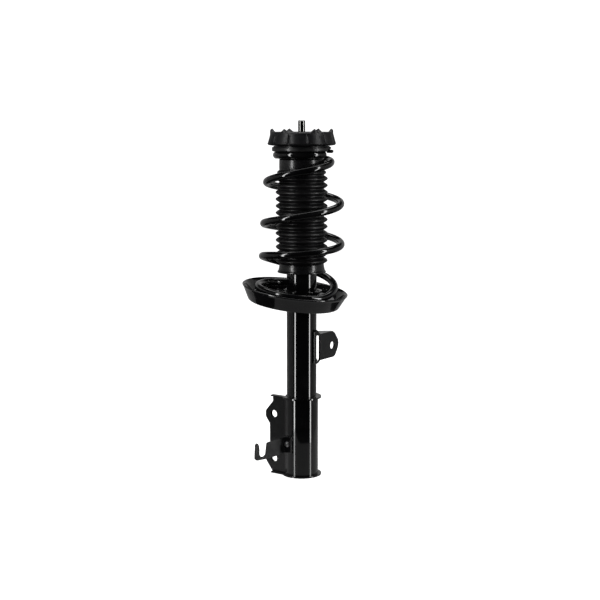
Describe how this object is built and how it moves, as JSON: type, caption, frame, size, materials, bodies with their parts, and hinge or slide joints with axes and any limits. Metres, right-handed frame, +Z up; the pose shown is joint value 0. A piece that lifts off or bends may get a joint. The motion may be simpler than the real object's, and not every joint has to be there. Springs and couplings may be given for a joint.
{
  "type": "suspension strut assembly",
  "caption": "Front suspension strut with coil spring, bellows boot, bearing top mount, tilted lower spring seat and a two-bolt knuckle bracket.",
  "frame": {"origin": "centre of the flat base of the strut tube, on the strut axis", "axes": "+Z up the strut axis towards the top mount; -X towards the knuckle ears; Y along the knuckle bolts"},
  "size_m": [0.1775, 0.1791, 0.6045],
  "materials": {
    "black_paint": "glossy black electrocoat paint",
    "spring_coat": "satin black powder coat",
    "rivet_steel": "painted steel, edges bright",
    "boot_rubber": "moulded bellows rubber, satin",
    "mount_rubber": "moulded mount rubber, matte",
    "seat_coat": "satin black coating",
    "rod_chrome": "hard chrome, ground; threaded end plain steel",
    "zinc_steel": "zinc plated",
    "bright_steel": "machined steel",
    "ball_steel": "polished bearing steel",
    "sintered": "sintered iron",
    "bush_bronze": "bronze with dry-film lining",
    "seal_rubber": "nitrile rubber",
    "cage_plastic": "natural polyamide",
    "band_plastic": "filled PTFE",
    "bump_foam": "microcellular polyurethane"
  },
  "bodies": {
    "strut_tube": {"reserve_tube": "black_paint", "base_cup": "black_paint", "base_valve": "sintered", "base_valve_pin": "bright_steel", "pressure_tube": "bright_steel", "rod_guide": "sintered", "guide_bush": "bush_bronze", "rod_seal": "seal_rubber", "knuckle_bracket": "black_paint", "hose_bracket": "black_paint", "hose_rivet": "rivet_steel", "link_bracket": "black_paint", "lower_spring_seat": "black_paint", "seat_gutter": "black_paint", "seat_wall": "black_paint", "seat_sleeve": "black_paint"},
    "upper_seat": {"coil_spring": "spring_coat", "dust_boot": "boot_rubber", "upper_spring_seat": "seat_coat", "upper_isolator": "mount_rubber", "bearing_lower_race": "seat_coat"},
    "ball_set": {"bearing_balls": "ball_steel", "bearing_cage": "cage_plastic"},
    "top_mount": {"bearing_upper_race": "bright_steel", "mount_rubber": "mount_rubber", "mount_insert": "zinc_steel", "mount_core": "zinc_steel", "rod_nut": "zinc_steel", "bump_stop": "bump_foam", "bump_stop_cup": "seat_coat", "piston_rod": "rod_chrome", "piston": "sintered", "piston_band": "band_plastic", "valve_discs": "bright_steel", "piston_nut": "bright_steel", "rebound_stop": "bright_steel"}
  },
  "joints": [
    {"name": "strut_stroke", "type": "slide", "parent": "strut_tube", "child": "upper_seat", "axis": [0, 0, 1], "range_m": [-0.15, 0], "stiffness_N_per_m": 25000, "springref_m": 0.004, "deforming": ["coil_spring", "dust_boot", "bump_stop"]},
    {"name": "mount_swivel", "type": "hinge", "parent": "upper_seat", "child": "top_mount", "pos_m": [0, 0, 0.565], "axis": [0, 0, 1], "range_deg": [-45, 45]},
    {"name": "cage_roll", "type": "hinge", "parent": "upper_seat", "child": "ball_set", "pos_m": [0, 0, 0.565], "axis": [0, 0, 1], "range_deg": [-22.5, 22.5]}
  ],
  "couplings": [
    {"joint": "cage_roll", "follows": "mount_swivel", "ratio": 0.5}
  ]
}
